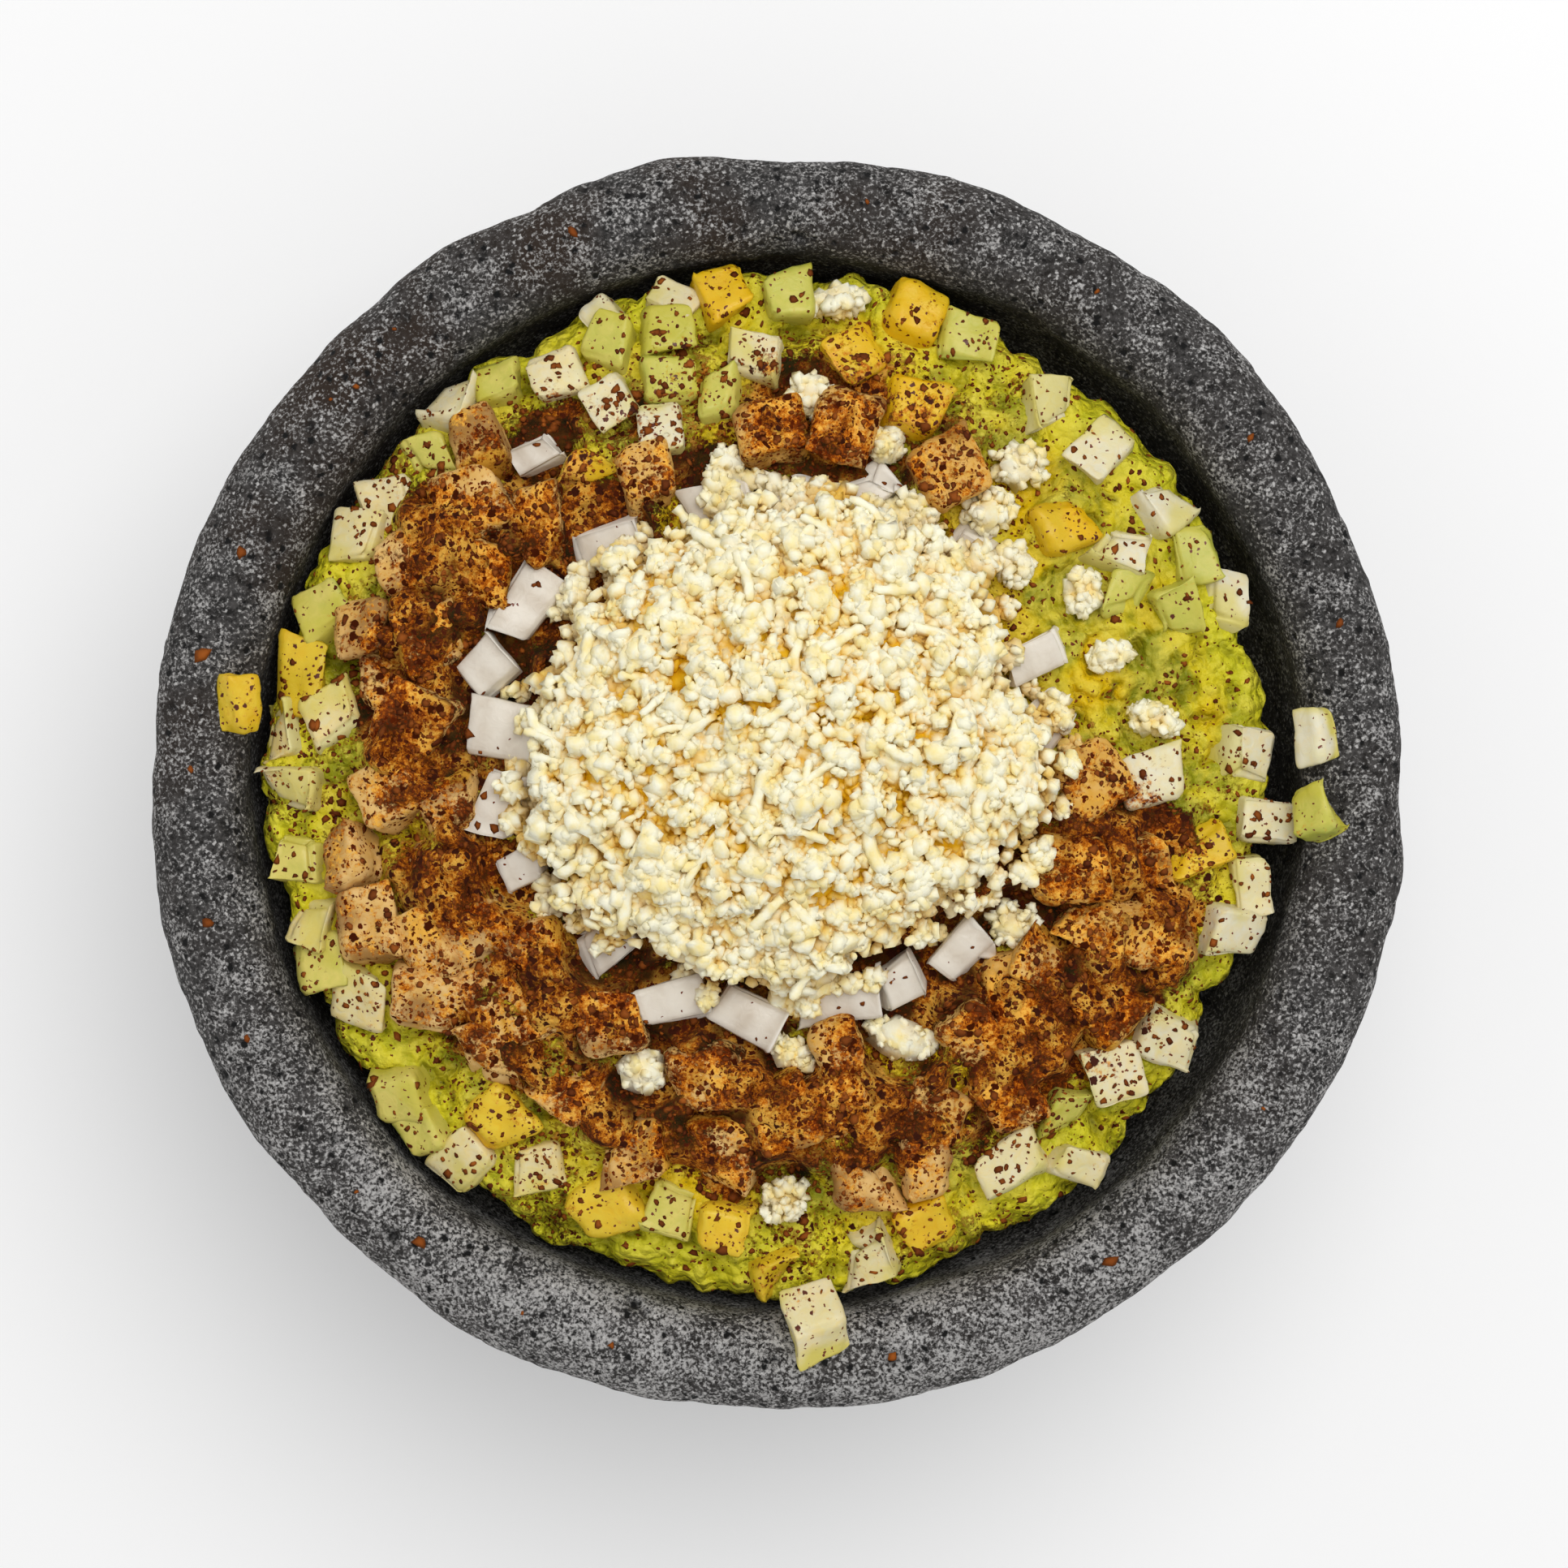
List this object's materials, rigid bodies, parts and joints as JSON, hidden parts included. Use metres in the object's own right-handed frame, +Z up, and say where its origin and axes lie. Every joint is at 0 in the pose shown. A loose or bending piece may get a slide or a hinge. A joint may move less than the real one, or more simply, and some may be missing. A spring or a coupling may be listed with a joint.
{
  "type": "molcajete",
  "caption": "Three-legged basalt mortar served full: a guacamole bed, chilli-dusted fruit and vegetable dice around the edge, and a heap of crumbled fresh cheese on top.",
  "frame": {"origin": "on the table, under the middle of the bowl's outline", "axes": "+Z up along the bowl's axis; +X to the right and +Y away from the viewer, which is up in the picture"},
  "size_m": [0.1996, 0.1998, 0.1282],
  "materials": {
    "basalt": "matte",
    "guacamole": "satin",
    "jicama_dice": "satin",
    "cucumber_dice": "satin",
    "mango_dice": "satin",
    "dusted_dice": "matte",
    "onion_pieces": "gloss",
    "cheese_heap": "matte",
    "cheese_crumbs": "matte",
    "chilli_flakes": "matte"
  },
  "bodies": {
    "bowl": {"stone_bowl": "basalt", "chilli_flakes": "chilli_flakes"},
    "filling": {"guacamole": "guacamole", "jicama_dice": "jicama_dice", "cucumber_dice": "cucumber_dice", "mango_dice": "mango_dice", "dusted_dice": "dusted_dice", "onion_pieces": "onion_pieces", "cheese_crumbs": "cheese_crumbs"},
    "cheese": {"cheese_heap": "cheese_heap"}
  },
  "joints": [
    {"name": "filling_lift", "type": "slide", "parent": "bowl", "child": "filling", "axis": [0, 0, 1], "range_m": [0, 0.09]},
    {"name": "cheese_lift", "type": "slide", "parent": "filling", "child": "cheese", "axis": [0, 0, 1], "range_m": [0, 0.05]}
  ]
}
